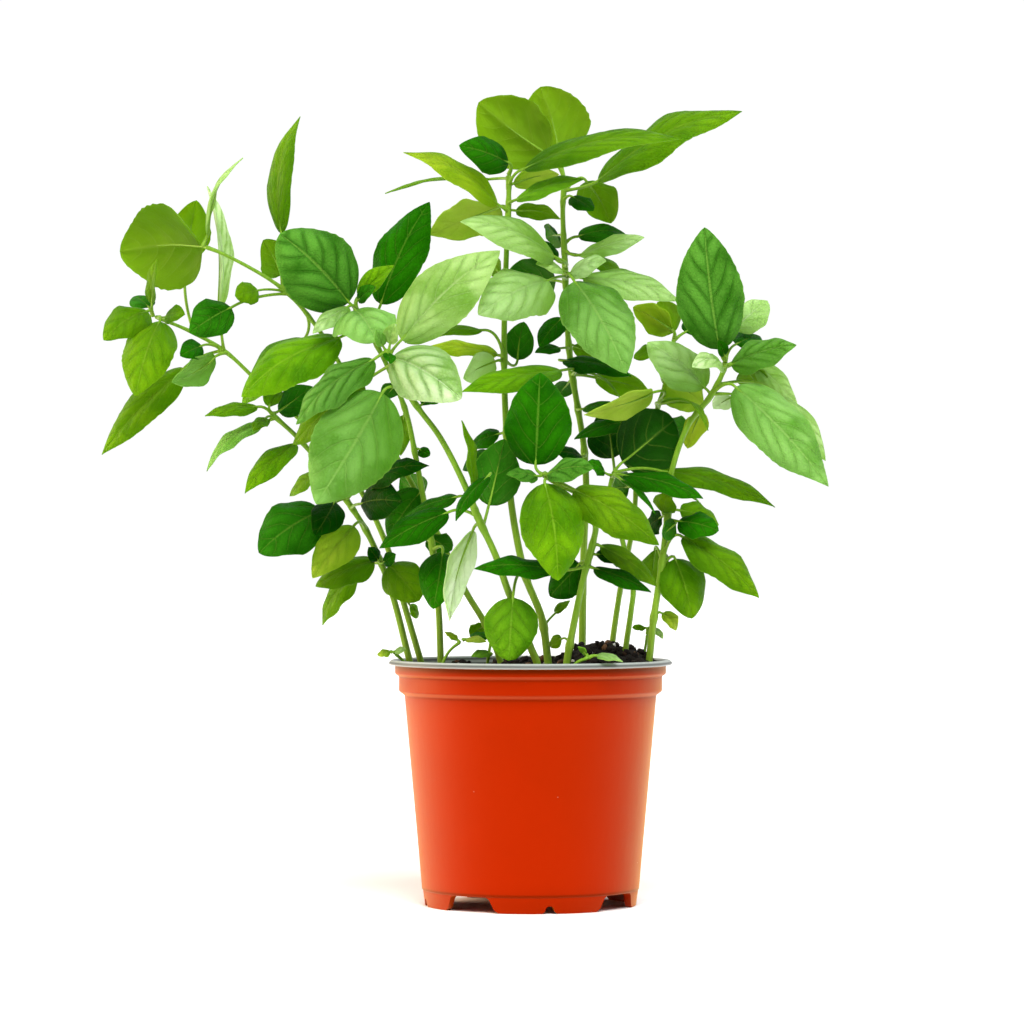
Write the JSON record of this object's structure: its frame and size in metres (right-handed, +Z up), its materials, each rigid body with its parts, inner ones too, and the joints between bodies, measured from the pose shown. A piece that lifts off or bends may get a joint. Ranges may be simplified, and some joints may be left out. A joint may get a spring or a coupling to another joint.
{
  "type": "potted basil plant",
  "caption": "Bushy basil plant with leafy green stems growing from dark soil in a terracotta-coloured plastic nursery pot with a grey rim, free standing.",
  "frame": {"origin": "middle of the whole outline, on the surface that the pot stands on", "axes": "+Z up, +X to the right and -Y towards the viewer of the front"},
  "size_m": [0.3384, 0.1416, 0.3802],
  "materials": {
    "pot_plastic": "thin terracotta-orange moulded plastic with a soft sheen, grey inside and on the rim",
    "potting_soil": "nearly black moist peat with brown crumbs and a few white perlite grains",
    "basil_foliage": "soft fresh leaf green, paler and shiny where light falls, yellow-green underneath and on the stems"
  },
  "bodies": {
    "root": {"pot": "pot_plastic", "potting_soil": "potting_soil", "leafy_stem_left_low": "basil_foliage", "leafy_stem_far_left": "basil_foliage", "leafy_stem_left_high": "basil_foliage", "leafy_stem_left_mid": "basil_foliage", "leafy_stem_front_left": "basil_foliage", "leafy_stem_centre": "basil_foliage", "leafy_stem_back_tall": "basil_foliage", "leafy_stem_front_centre": "basil_foliage", "leafy_stem_right_inner": "basil_foliage", "leafy_stem_right_mid": "basil_foliage", "leafy_stem_right": "basil_foliage", "seedling_left": "basil_foliage", "seedling_left_middle": "basil_foliage", "seedling_centre": "basil_foliage", "seedling_front": "basil_foliage", "seedling_right": "basil_foliage"}
  },
  "joints": []
}
